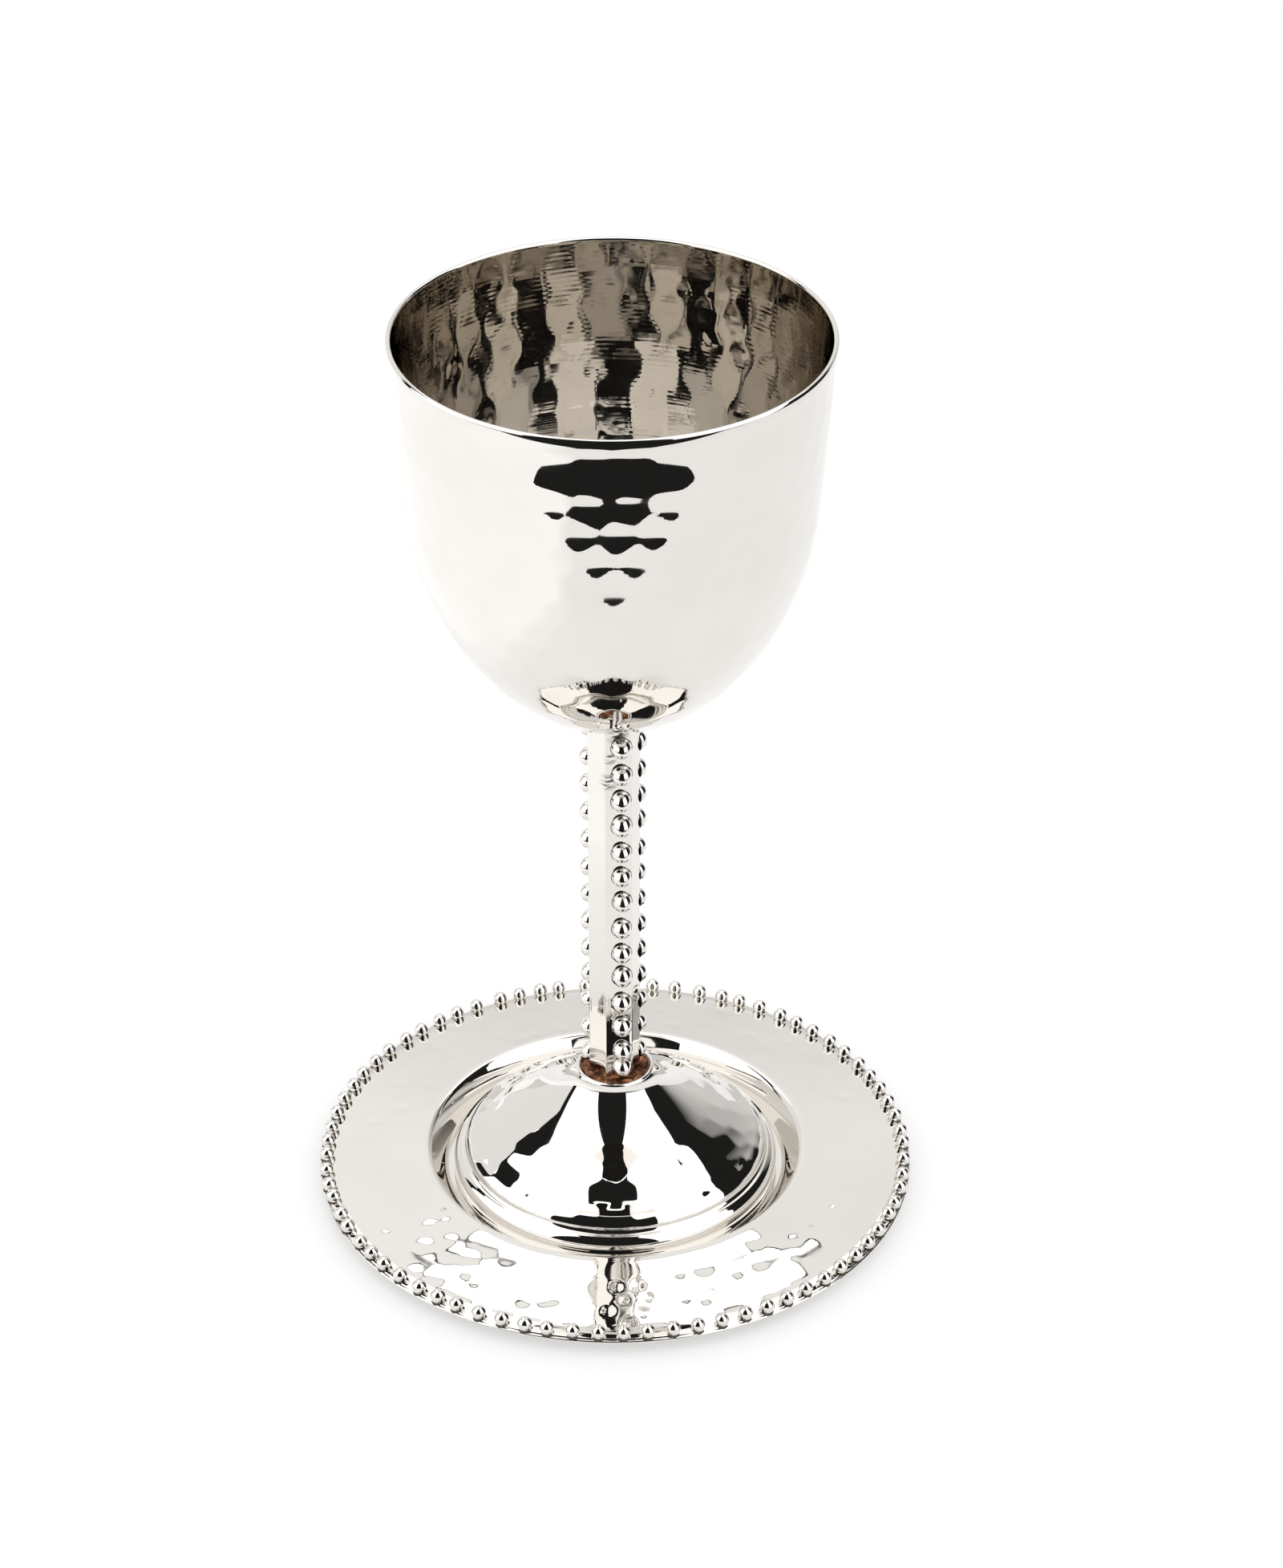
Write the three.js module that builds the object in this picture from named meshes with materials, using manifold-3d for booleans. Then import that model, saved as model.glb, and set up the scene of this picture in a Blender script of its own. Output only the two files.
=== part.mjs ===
// Kiddush cup standing in its saucer: a hammered bowl, a hexagonal stem with three rows of soldered
// beads, a spun foot with a collar round the stem, and a hammered saucer edged with beaded wire.
// Millimetres, +Z up. The origin is the centre of the saucer's underside, on the table.
import * as THREE from 'three';
import { mergeVertices } from 'three/addons/utils/BufferGeometryUtils.js';
import Module from 'manifold-3d';

const wasm = await Module();
wasm.setup();

// ---- driving dimensions ----

const HEIGHT = 159.6;            // table to the bowl's rim
const GAP = 0.3;                 // kept between pieces that touch
const WELD = 1e-4;               // vertices closer than this are one

const BOWL = {
  rimRadius: 35,
  taper: 0.082,                  // radius lost for each millimetre below the rim
  bottom: 91.5,                  // lowest point of the outside
  bellyHeight: 38.8,             // from the bottom to where the straight wall starts
  wall: 0.9,
  sides: 32,
};

const STEM = {
  cornerRadius: 4.38,            // hexagonal bar, 7.6 across its flats
  bottom: 18.4,                  // its foot, inside the collar
  top: 96,                       // before the bowl's seat is cut from it
  beadRadius: 1.55,
  beadCentre: 4.6,               // bead centres from the axis
  firstFace: -79,                // direction of the face that carries the first row, degrees from +X
};

// Each row runs down one of three alternate faces at an even pitch, a little aside of the face's
// middle. One last bead sits low on the face, close to the collar.
const BEAD_ROWS = [
  { top: 87, pitch: 4.98, count: 13, last: 23.8, aside: 0.5 },
  { top: 85, pitch: 5.12, count: 12, last: 23.6, aside: -0.8 },
  { top: 88, pitch: 5.38, count: 12, last: 23.3, aside: 0 },
];

const FOOT = {
  rest: 1.3,                     // lower edge, just clear of the saucer's floor
  sheet: 0.8,
  collarRadius: 6.2,             // middle of the rolled lip
  collarTop: 22,
  neckStart: 0.4,                // the neck leaves the collar this far outside it
  turnRadius: 15.5,              // where the hollow neck turns into the dome
  turnHeight: 12.9,
  turnSlope: 0.5,
  domeBend: 20.3,                // radius at which the dome bends down to its shoulder
  domeRoll: 2.6,                 // rounded shoulder of the dome
  domeRadius: 25.5,
  domeRollHeight: 5.6,           // height of the shoulder's centre
  domeRollTurn: [56, 6],         // where the shoulder starts and ends, degrees
  ringRoll: 2.2,                 // rounded shoulder of the base ring
  ringRadius: 27.6,
  ringRollHeight: 3.2,
  ringRollTurn: [62, 0],
  crease: 0.72,                  // hollow between dome and base ring
  creaseRadius: 26.2,
  creaseHeight: 6,
  creaseTurn: [225, 275],
  sides: 28,
};

const BRAZE = { inner: 4.75, outer: 5.25, bottom: 18.4, top: 20.4, sides: 18 };

const SAUCER = {
  sheet: 0.9,
  floorRadius: 28.2,             // flat floor of the well
  wallFoot: 1.4,                 // fillet between floor and wall
  wallLean: 32,                  // the wall leans outward, degrees from upright
  crestRadius: 32.5,             // rounded shoulder between well and rim
  crestRoll: 1.3,
  crestHeight: 5.6,
  crestEnd: 82,                  // where the shoulder runs out into the rim, degrees
  rimRadius: 50.5,
  rimHeight: 2.8,                // top of the rim at its edge
  sides: 36,
};

// Beaded wire that runs round the saucer's rim: a round wire with beads strung along it.
const BEADING = {
  ring: 49.5,
  height: 4.2,                   // bead centres
  beadRadius: 1.16,
  beads: 76,
  firstBead: 0.3,                // turn of the first bead, in pitches
  wireRadius: 0.5,
  sectionSides: 6,
};

// Straight pieces that each curve is cut into: on the face that shows, and on the one behind it.
const SHOWN = { belly: 9, neck: 5, dome: 3, roll: 3, crease: 2, ring: 3, fillet: 2, crest: 3 };
const BEHIND = { belly: 8, neck: 3, dome: 2, roll: 1, crease: 1, ring: 1, fillet: 1, crest: 1 };
const SEAT_STEPS = 12;
const WALL_STEPS = 2;

const SILVER = { color: 0xdcdad5, roughness: 0.12, metalness: 1 };
const SATIN = { color: 0xd0cdc6, roughness: 0.25, metalness: 1 };
const COPPER = { color: 0x7d4630, roughness: 0.45, metalness: 1 };

// ---- outlines: points (radius, height), run round the solid with the material on their left ----

const at = (radius, height) => new THREE.Vector2(radius, height);

/** Points on an arc, from one angle to another in degrees, ends included. */
function arc(centreRadius, centreHeight, radius, from, to, steps) {
  const points = [];
  for (let i = 0; i <= steps; i += 1) {
    const angle = THREE.MathUtils.degToRad(from + (to - from) * i / steps);
    points.push(at(centreRadius + radius * Math.cos(angle), centreHeight + radius * Math.sin(angle)));
  }
  return points;
}

/** Points on a smooth bend that leaves start towards through and reaches end from it. */
function bend(start, through, end, steps) {
  return new THREE.QuadraticBezierCurve(start, through, end).getPoints(steps);
}

/** A run of points moved sideways by a distance, to the left of its direction. */
function offset(points, distance) {
  return points.map((point, i) => {
    const before = points[Math.max(i - 1, 0)];
    const after = points[Math.min(i + 1, points.length - 1)];
    const along = after.clone().sub(before).normalize();
    return at(point.x - along.y * distance, point.y + along.x * distance);
  });
}

// ---- solids ----

/** A manifold-3d solid from a closed three.js geometry. */
function solidFrom(geometry) {
  const bare = new THREE.BufferGeometry();
  bare.setAttribute('position', geometry.getAttribute('position'));
  bare.setIndex(geometry.getIndex());
  const welded = mergeVertices(bare, WELD);
  const index = welded.getIndex().array;
  const corners = [];
  for (let i = 0; i < index.length; i += 3) {
    const [a, b, c] = index.slice(i, i + 3);
    if (a !== b && b !== c && c !== a) corners.push(a, b, c);
  }
  return new wasm.Manifold(new wasm.Mesh({
    numProp: 3,
    vertProperties: welded.getAttribute('position').array,
    triVerts: Uint32Array.from(corners),
  }));
}

/** The closed outline turned round the Z axis. */
function turned(outline, sides) {
  const closed = outline[0].x > 0 ? [...outline, outline[0]] : outline;
  return solidFrom(new THREE.LatheGeometry(closed, sides).rotateX(Math.PI / 2));
}

/** A named mesh of a solid. */
function meshOf(name, look, solid) {
  const { vertProperties, triVerts } = solid.getMesh();
  const geometry = new THREE.BufferGeometry();
  geometry.setAttribute('position', new THREE.BufferAttribute(vertProperties, 3));
  geometry.setIndex(new THREE.BufferAttribute(triVerts, 1));
  geometry.computeVertexNormals();
  const mesh = new THREE.Mesh(geometry, new THREE.MeshStandardMaterial(look));
  mesh.name = name;
  return mesh;
}

/** A bead with few sides, its centre at a point. */
function bead(radius, x, y, z) {
  return solidFrom(new THREE.OctahedronGeometry(radius, 1).translate(x, y, z));
}

// ---- bowl ----

/** The bowl's wall from bottom to rim: half an ellipse that runs up into a slightly flared wall.
 *  Inset moves it inward, for the inside of the wall. */
function bowlLine(inset, top, bellySteps, wallSteps) {
  const join = BOWL.bottom + BOWL.bellyHeight;
  const depth = BOWL.bellyHeight - inset;
  const flared = (height) => BOWL.rimRadius - inset - BOWL.taper * (HEIGHT - height);
  const points = [];
  for (let i = 0; i <= bellySteps; i += 1) {
    const turn = Math.PI / 2 * i / bellySteps;
    const height = join - depth * Math.cos(turn);
    points.push(at(flared(height) * Math.sin(turn), height));
  }
  for (let i = 1; i <= wallSteps; i += 1) {
    const height = join + (top - join) * i / wallSteps;
    points.push(at(flared(height), height));
  }
  return points;
}

function bowlSolid() {
  const lip = BOWL.wall / 2;
  const outside = bowlLine(0, HEIGHT - lip, SHOWN.belly, WALL_STEPS);
  const inside = bowlLine(BOWL.wall, HEIGHT - lip, BEHIND.belly, WALL_STEPS);
  const rim = arc(BOWL.rimRadius - lip, HEIGHT - lip, lip, 45, 135, 2);
  return turned([...outside, ...rim, ...inside.reverse()], BOWL.sides);
}

/** All that the bowl takes up below its mouth, with a margin. */
function bowlSeat(margin) {
  const top = BOWL.bottom + BOWL.bellyHeight;
  return turned([...bowlLine(-margin, top, SEAT_STEPS, 0), at(0, top)], BOWL.sides);
}

// ---- stem ----

function stemSolid() {
  const length = STEM.top - STEM.bottom;
  const bar = new THREE.CylinderGeometry(STEM.cornerRadius, STEM.cornerRadius, length, 6);
  bar.rotateX(Math.PI / 2).rotateZ(THREE.MathUtils.degToRad(STEM.firstFace));
  bar.translate(0, 0, STEM.bottom + length / 2);
  return wasm.Manifold.union([solidFrom(bar), ...stemBeads()]).subtract(bowlSeat(GAP));
}

function stemBeads() {
  const beads = [];
  BEAD_ROWS.forEach((row, i) => {
    const angle = THREE.MathUtils.degToRad(STEM.firstFace + i * 120);
    const x = STEM.beadCentre * Math.cos(angle) - row.aside * Math.sin(angle);
    const y = STEM.beadCentre * Math.sin(angle) + row.aside * Math.cos(angle);
    for (let k = 0; k < row.count; k += 1) {
      beads.push(bead(STEM.beadRadius, x, y, row.top - k * row.pitch));
    }
    beads.push(bead(STEM.beadRadius, x, y, row.last));
  });
  return beads;
}

// ---- foot ----

/** The foot's outer face from collar to lower edge, its curves cut into the given steps. */
function footLine(steps) {
  const lip = FOOT.sheet / 2;
  const collar = at(FOOT.collarRadius + lip, FOOT.collarTop - lip);
  const turn = at(FOOT.turnRadius, FOOT.turnHeight);
  const neckRadius = collar.x + FOOT.neckStart;
  const neckBend = at(neckRadius, turn.y + FOOT.turnSlope * (turn.x - neckRadius));
  const domeBend = at(FOOT.domeBend, turn.y - FOOT.turnSlope * (FOOT.domeBend - turn.x));
  const rollCentre = FOOT.domeRadius - FOOT.domeRoll;
  const roll = arc(rollCentre, FOOT.domeRollHeight, FOOT.domeRoll, ...FOOT.domeRollTurn, steps.roll);
  const crease = arc(FOOT.creaseRadius, FOOT.creaseHeight, FOOT.crease, ...FOOT.creaseTurn, steps.crease);
  const ringCentre = FOOT.ringRadius - FOOT.ringRoll;
  const ring = arc(ringCentre, FOOT.ringRollHeight, FOOT.ringRoll, ...FOOT.ringRollTurn, steps.ring);
  return [
    ...bend(collar, neckBend, turn, steps.neck),
    ...bend(turn, domeBend, roll[0], steps.dome).slice(1),
    ...roll.slice(1),
    ...crease,
    ...ring,
    at(FOOT.ringRadius, FOOT.rest),
  ];
}

function footSolid() {
  const lip = FOOT.sheet / 2;
  const rolledLip = arc(FOOT.collarRadius, FOOT.collarTop - lip, lip, 120, 60, 1);
  const outside = [...rolledLip, ...footLine(SHOWN)];
  const inside = offset(footLine(BEHIND), -FOOT.sheet);
  return turned([...outside, ...inside.reverse()].reverse(), FOOT.sides);
}

/** Ring of brazing alloy that fills the collar round the stem. */
function brazeSolid() {
  const { inner, outer, bottom, top, sides } = BRAZE;
  return turned([at(inner, bottom), at(outer, bottom), at(outer, top), at(inner, top)], sides);
}

// ---- saucer ----

/** The saucer's upper face from the axis to the rim's edge, its curves cut into the given steps. */
function saucerLine(steps) {
  const { sheet, floorRadius, wallFoot, wallLean, crestRadius, crestRoll, crestHeight, crestEnd } = SAUCER;
  const fillet = arc(floorRadius, sheet + wallFoot, wallFoot, 270, 360 - wallLean, steps.fillet);
  const crestCentre = crestHeight - crestRoll;
  const crest = arc(crestRadius, crestCentre, crestRoll, 180 - wallLean, crestEnd, steps.crest);
  return [at(0, sheet), ...fillet, ...crest, at(SAUCER.rimRadius, SAUCER.rimHeight)];
}

function saucerSolid() {
  const top = saucerLine(SHOWN);
  const underside = offset(saucerLine(BEHIND), -SAUCER.sheet);
  underside[0].set(0, 0);
  return turned([...underside, ...top.reverse()], SAUCER.sides);
}

/** The beaded wire: round sections strung round a ring, wider where a bead is. */
function beadingSolid() {
  const { ring, height, beadRadius, beads, firstBead, wireRadius, sectionSides } = BEADING;
  const reach = Math.sqrt(beadRadius ** 2 - wireRadius ** 2);
  const stations = [-reach, -reach / 2, reach / 2, reach];
  const positions = [];
  for (let i = 0; i < beads; i += 1) {
    for (const along of stations) {
      const turn = 2 * Math.PI * (i + firstBead) / beads + along / ring;
      const radius = Math.sqrt(beadRadius ** 2 - along ** 2);
      for (let k = 0; k < sectionSides; k += 1) {
        const angle = 2 * Math.PI * k / sectionSides;
        const out = ring + radius * Math.cos(angle);
        positions.push(out * Math.cos(turn), out * Math.sin(turn), height + radius * Math.sin(angle));
      }
    }
  }
  return solidFrom(ringOfSections(positions, beads * stations.length, sectionSides));
}

/** Faces between sections of equal count that follow one another round a closed ring. */
function ringOfSections(positions, sections, sides) {
  const index = [];
  for (let i = 0; i < sections; i += 1) {
    const next = (i + 1) % sections;
    for (let k = 0; k < sides; k += 1) {
      const up = (k + 1) % sides;
      const [a, b, c, d] = [i * sides + k, next * sides + k, next * sides + up, i * sides + up];
      index.push(a, b, c, a, c, d);
    }
  }
  const geometry = new THREE.BufferGeometry();
  geometry.setAttribute('position', new THREE.Float32BufferAttribute(positions, 3));
  return geometry.setIndex(index);
}

// ---- the set ----

const cup = new THREE.Group();
cup.add(
  meshOf('bowl', SILVER, bowlSolid()),
  meshOf('stem', SILVER, stemSolid()),
  meshOf('foot', SILVER, footSolid()),
  meshOf('braze_ring', COPPER, brazeSolid()),
  meshOf('saucer', SATIN, saucerSolid()),
  meshOf('rim_beading', SILVER, beadingSolid()),
);

export default cup;
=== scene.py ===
"""A hand-made kiddush cup standing in its saucer: the looks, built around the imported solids.

Sizes are in millimetres, and a mesh turns them into metres. The cup's axis is Z and its front is -Y.
"""

import math
import random

import bpy
import numpy as np
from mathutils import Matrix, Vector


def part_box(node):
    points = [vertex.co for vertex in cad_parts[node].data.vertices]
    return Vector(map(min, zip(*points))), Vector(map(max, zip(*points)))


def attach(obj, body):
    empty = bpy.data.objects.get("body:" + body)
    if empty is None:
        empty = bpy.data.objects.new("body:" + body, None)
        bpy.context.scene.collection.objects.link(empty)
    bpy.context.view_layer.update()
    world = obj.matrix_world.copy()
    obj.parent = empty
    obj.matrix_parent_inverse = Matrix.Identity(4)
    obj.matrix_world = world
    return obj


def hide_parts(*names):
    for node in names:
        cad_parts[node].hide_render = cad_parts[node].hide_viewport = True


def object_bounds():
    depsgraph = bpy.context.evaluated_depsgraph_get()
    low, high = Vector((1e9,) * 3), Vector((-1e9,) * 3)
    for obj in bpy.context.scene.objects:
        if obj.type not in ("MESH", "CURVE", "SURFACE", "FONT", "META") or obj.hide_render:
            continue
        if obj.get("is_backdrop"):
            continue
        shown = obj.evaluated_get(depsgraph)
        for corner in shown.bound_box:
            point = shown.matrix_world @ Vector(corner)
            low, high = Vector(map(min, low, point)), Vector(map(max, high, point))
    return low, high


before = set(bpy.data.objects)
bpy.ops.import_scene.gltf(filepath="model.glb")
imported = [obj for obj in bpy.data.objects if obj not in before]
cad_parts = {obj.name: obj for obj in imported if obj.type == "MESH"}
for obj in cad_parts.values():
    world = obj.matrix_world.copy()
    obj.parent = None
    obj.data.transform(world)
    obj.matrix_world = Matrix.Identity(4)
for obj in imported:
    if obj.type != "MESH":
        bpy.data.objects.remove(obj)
cad_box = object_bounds()

MM = 0.001
FRONT = -90.0
UP = np.array([0.0, 0.0, 1.0])
SMALL_STEP = 0.12
ROUND_STEP = 0.25
# Points of an outline that are closer than this are one point.
DOUBLED = 1e-4
# Marks stray less outwards than along the surface.
OUTWARD_SCATTER = 0.4
# Points whose dents are worked out at a time.
BLOCK = 4000


def top_of(node):
    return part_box(node)[1].z / MM


def bottom_of(node):
    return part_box(node)[0].z / MM


def reach_of(node):
    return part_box(node)[1].x / MM


# A `step` is the distance between the points of an outline, and `sides` is how many points go round.
# Rolls, rings, creases and crests are rounds in a section, as (radius, height, size).
# The belly's outline is `belly_run` times as long as a quarter of a circle that is as deep.
RIM_HEIGHT = top_of("bowl")
BOWL = {
    "rim": reach_of("bowl"),
    "taper": 0.082,
    "bottom": bottom_of("bowl"),
    "belly": 38.8,
    "belly_run": 0.93,
    "wall": 0.9,
    "sides": 324,
    "step": 0.66,
    "fine_step": 0.2,
}
# A hammer mark is a dent like a ball's. `round` is the ball's radius, and `ridge` is how soft the ridges
# between marks are. A pair of numbers for a mark is (middle, the share of it that marks vary by).
BOWL_MARKS = {
    "top_row": 4.6,
    "second_row": 12.0,
    "row_pitch": 4.95,
    "mark_pitch": 5.8,
    "in_top_rows": 36,
    # The shift, round and depth of each of the top rows.
    "top_rows": (
        (0.52, 56.0, 0.2),
        (0.41, 42.0, 0.09),
        (0.1, 44.0, 0.09),
        (0.53, 72.0, 0.068),
        (0.03, 58.0, 0.085),
    ),
    "round": 52.0,
    "depth": 0.08,
    "uneven_round": 0.15,
    "uneven_depth": 0.08,
    "band": 1.7,
    "band_blend": 0.9,
    "smooth_rows": 3,
    "inside": 0.8,
    "inside_round": 60.0,
    "ridge": 0.013,
    "scatter": 0.25,
}
FINE_MARKS = {
    "count": 900,
    "above_bottom": 6.0,
    "below_rim": 3.0,
    "round": (11.0, 0.4),
    "depth": (0.03, 0.6),
    "ridge": 0.004,
}
STEM = {
    "corner": 4.38,
    "edge": 0.32,
    "edge_step": 0.1,
    "face_step": 0.6,
    "bottom": bottom_of("stem"),
    "first_face": -79.0,
    "rows": 76,
    "into_bowl": 0.05,
    "wave": 0.0022,
    "wave_turn": 0.9,
    "unevenness": 0.0012,
    "flare": 0.09,
    "flare_rows": 1.5,
}
# A row has `count` beads from `top` down and one more at `last`. Their centres are `above` the bar's face.
BEAD_ROWS = (
    {"top": 87.0, "pitch": 4.98, "count": 13, "last": 23.8, "aside": 0.5, "above": 0.0},
    {"top": 85.0, "pitch": 5.12, "count": 12, "last": 23.6, "aside": -0.8, "above": 0.5},
    {"top": 88.0, "pitch": 5.38, "count": 12, "last": 23.3, "aside": 0.0, "above": 0.5},
)
STEM_BEAD = {
    "radius": 1.64,
    "reach": 2.15,
    "skirt": 0.16,
    "sides": 28,
    "stray_across": 0.1,
    "stray_up": 0.2,
    "stretches": (1.0, 1.0, 1.05, 1.18),
}
BEAD_SIZES = (0.96, 1.04)
BEAD_STEP = 0.14
# How the solder rises to a bead: where it ends, the corner of its hollow, and where its painted crease shade
# with dark scale fades.
SOLDER = {"top": 0.3, "corner": (0.05, 0.04), "step": 0.1, "crease_shade_to": 0.18, "fade": 0.14}
FOOT_LIP = 0.4
FOOT = {
    "rest": bottom_of("foot"),
    "sheet": 0.8,
    "collar": 6.2,
    "collar_top": top_of("foot") - FOOT_LIP,
    "lip": FOOT_LIP,
    "hollow": 0.4,
    "turn": (15.5, 12.9),
    "turn_slope": 0.5,
    "swell": (20.2, 10.15),
    "swell_slope": 0.7,
    "roll": (22.9, 5.6, 2.6),
    "roll_turn": (6.0, 68.0),
    "crease": (26.2, 6.0, 0.72),
    "crease_turn": (275.0, 225.0),
    "ring": (25.4, 3.2, 2.2),
    "ring_turn": (0.0, 62.0),
    "sides": 300,
    "step": 0.5,
    "ring_step": 0.22,
    "wall_step": 0.4,
}
FOOT_MARKS = {
    "rings": ((17.6, 25), (20.9, 30), (23.9, 34)),
    "scatter": 0.55,
    "round": (30.0, 0.35),
    "depth": (0.1, 0.35),
    "ridge": 0.008,
}
BRAZE = {
    "sides": 96,
    "rows": 12,
    "into_bar": 0.06,
    "into_collar": 0.03,
    "above": 0.25,
    "up_bar": 0.5,
    "up_collar": 0.35,
    "lump": 0.06,
}
SAUCER = {
    "sheet": 0.9,
    "floor": 28.2,
    "wall_foot": 1.4,
    "wall_lean": 32.0,
    "crest": (32.5, 4.3, 1.3),
    "crest_end": 82.0,
    "sides": 420,
    "step": 0.75,
    "floor_step": 2.2,
    "under_step": 0.8,
}
# The saucer's folded-down border: three bends as (start, corner, end), and the bottom of the crease.
SAUCER_EDGE = {
    "fold": ((47.7, 3.35), (49.0, 3.16), (50.05, 2.72)),
    "fold_step": 0.2,
    "crease": ((50.07, 2.59), (50.19, 2.59)),
    "ledge": ((50.25, 2.66), (50.57, 2.58), (50.57, 2.42)),
    "turn_under": ((50.57, 2.33), (50.57, 2.15), (50.27, 2.15)),
}
SAUCER_MARKS = {
    "rings": ((35.8, 36), (40.3, 40), (44.9, 45)),
    "scatter": 1.6,
    "round": (210.0, 0.6),
    "depth": (0.032, 0.6),
    "ridge": 0.004,
}
STRAY_MARKS = {"count": 120, "reach": (34.5, 47.5), "round": (24.0, 0.4), "depth": (0.05, 0.6)}
# A cluster of deeper knocks at the front of the saucer, with their (x, y) places.
KNOCKS = {
    "places": (
        (3.6, -38.6), (5.4, -41.2), (1.4, -41.8), (4.6, -44.6),
        (-1.2, -44.2), (2.2, -46.8), (0.0, -39.0),
    ),
    "round": (15.0, 0.4),
    "depth": (0.09, 0.3),
}
BEADING = {
    "ring": 49.5,
    "height": 3.8,
    "surface": 2.97,
    "bead": 1.2,
    "beads": 76,
    "first": 0.3,
    "skirt": 0.2,
    "sink": 0.45,
    "sides": 24,
    "stray": 0.08,
    "stray_turn": 0.3,
}

# Colours are (red, green, blue, 1).
SILVER = (0.80, 0.778, 0.745, 1.0)
WORN = (0.70, 0.668, 0.62, 1.0)
# Painted shade in the solder creases round the beads, with dark scale and smudges of solder.
SHADE_AND_SCALE = (0.09, 0.075, 0.06, 1.0)
INSIDE_SILVER = (0.72, 0.69, 0.645, 1.0)
INSIDE_WORN = (0.52, 0.49, 0.45, 1.0)
COPPER = (0.40, 0.185, 0.10, 1.0)
COPPER_SCALE = (0.06, 0.022, 0.012, 1.0)
WHITE = (1.0, 1.0, 1.0, 1.0)
CARD_WHITE = (1.0, 0.995, 0.985, 1.0)
# Paper in painted shade and in a painted pool of light.
SHADED_PAPER = (0.392, 0.392, 0.392, 1.0)
LIT_PAPER = (0.54, 0.54, 0.54, 1.0)
POLISH = (0.012, 0.05)
INSIDE_POLISH = (0.02, 0.07)
# Cloudy patterns are (scale, detail, the range that is used, what it becomes).
CLOUDS = (60.0, 3.0, (0.45, 0.9), (0.0, 0.5))
TURNED_PATCHES = (70.0, 1.0, (0.42, 0.6), (0.15, 1.0))
SOLDER_STREAKS = (750.0, 4.0, (0.44, 0.52), (0.0, 1.0))
SMEARS = (260.0, 4.0, (0.35, 0.75))
SHADE_AND_SCALE_ROUGHNESS = 0.35
# Length of one wave of a pattern of scale 1.
WAVE_LENGTH = math.pi / 10
TURNING = {"pitch": 0.8, "depth": 0.0045, "distortion": 1.5, "detail": 2.0, "detail_scale": 0.4}
# Patches of solder on the stem's front, as (x, y, z, size). `core` is the share of it that is darkest.
SMUDGES = ((-1.0, -3.9, 80.6, 1.9), (-0.6, -3.9, 85.2, 1.3), (0.6, -3.9, 89.8, 2.2))
SMUDGE = {"core": 0.3, "stretch": (0.35, 0.35, 1.7)}
BRAZE_SCALE = {"scale": 700.0, "detail": 4.0, "range": (0.38, 0.62)}
BRAZE_SHEEN = ((0.3, 0.7), (0.45, 0.2))
BRAZE_GRAIN = {"scale": 1500.0, "detail": 3.0, "depth": 0.12}

# The studio's cards have their borders in degrees. A side is 0 at the front and positive to the right, and a
# height is measured up from the cards' centre. A table of (place, value) runs straight from pair to pair.
BEHIND = 180.0
CARD = {"columns": 72, "rows": 24, "centre": 5.0, "bottom": -3.0}
BLACK = 0.015
OPENING = {"sides": (-42.0, 28.0), "heights": (0.0, 80.0), "distance": 520.0}
BACKDROP = {
    "top": (
        (0.0, 54.0), (4.5, 53.7), (8.0, 52.9), (12.0, 51.3), (15.0, 49.5),
        (18.0, 47.2), (20.0, 45.0), (21.4, 42.5), (22.1, 40.0), (22.4, 38.0),
    ),
    "levels": ((0, 0.72), (12, 0.78), (20, 0.88), (32, 1.0)),
    "tilt": (0.98, 1.06),
    "edge": 0.3,
    "edge_level": 0.04,
    "distance": 5000.0,
}
FAR_SIDE = {
    "levels": (
        (126, 0.02), (130, 0.09), (135, 0.3), (141, 0.52), (150, 0.66), (160, 0.82), (175, 0.93),
    ),
    "sides": (126.0, 244.0),
    "top": 40.0,
    "distance": 6000.0,
}
GAPS = {
    "gap_right": {
        "first": ((0, 80), (13, 82), (39, 91), (48, 101), (54, 112), (57, 116)),
        "last": ((37, 127), (39.5, 133)),
        "top": 57.0,
    },
    "gap_left": {
        "first": ((0, -119), (34, -117), (38, -124), (41, -129), (54, -131)),
        "last": ((0, -109), (36, -111), (40, -112), (50, -116), (54, -120)),
        "top": 54.0,
    },
}
GAP_DISTANCE = 500.0
TABLE_END = {"edge": 207.0, "reach": 900.0, "height": 0.4}
# A painted pool of light makes the paper lighter to the left over one range of x, and towards the cup over
# one range of distance.
PAPER = {
    "half": 4000.0,
    "height": -0.05,
    "glow": 0.42,
    "left": (-110.0, -70.0),
    "left_share": 0.8,
    "near": (60.0, 260.0),
    "near_share": 0.3,
}
SKY = 1.5
CAMERA = {
    "lens": 105.1,
    "sensor": 36.0,
    "nearest": 10.0,
    "place": (0.0, -630.6, 477.0),
    "down": 32.33,
    "turn": -0.41,
}
BOUNCES = {"glossy": 12, "all": 16}
chance = random.Random(18)


# ---------------------------------------------------------------- outlines


def spread(length, step):
    """How many pieces of at most step make the length."""
    return max(1, math.ceil(length / step))


def arc(r, z, radius, start, end, step):
    """A round stretch about (r, z), from start to end in degrees."""
    pieces = spread(abs(math.radians(end - start)) * radius, step)
    turns = [math.radians(start + (end - start) * i / pieces) for i in range(pieces + 1)]
    return [(r + radius * math.cos(t), z + radius * math.sin(t)) for t in turns]


def straight(start, end, step):
    """A straight stretch from start to end."""
    pieces = spread(math.dist(start, end), step)
    return [
        tuple(a + (b - a) * i / pieces for a, b in zip(start, end)) for i in range(pieces + 1)
    ]


def bend(start, corner, end, step):
    """A smooth bend that leaves start and reaches end along the lines to the corner."""
    pieces = spread(math.dist(start, corner) + math.dist(corner, end), step)
    line = []
    for i in range(pieces + 1):
        t = i / pieces
        line.append(
            tuple(
                (1 - t) ** 2 * a + 2 * t * (1 - t) * b + t * t * c
                for a, b, c in zip(start, corner, end)
            )
        )
    return line


def joined(*stretches):
    """The stretches as one line, without doubled points."""
    line = []
    for stretch in stretches:
        for point in stretch:
            if not line or math.dist(line[-1], point) > DOUBLED:
                line.append(tuple(point))
    return line


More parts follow.
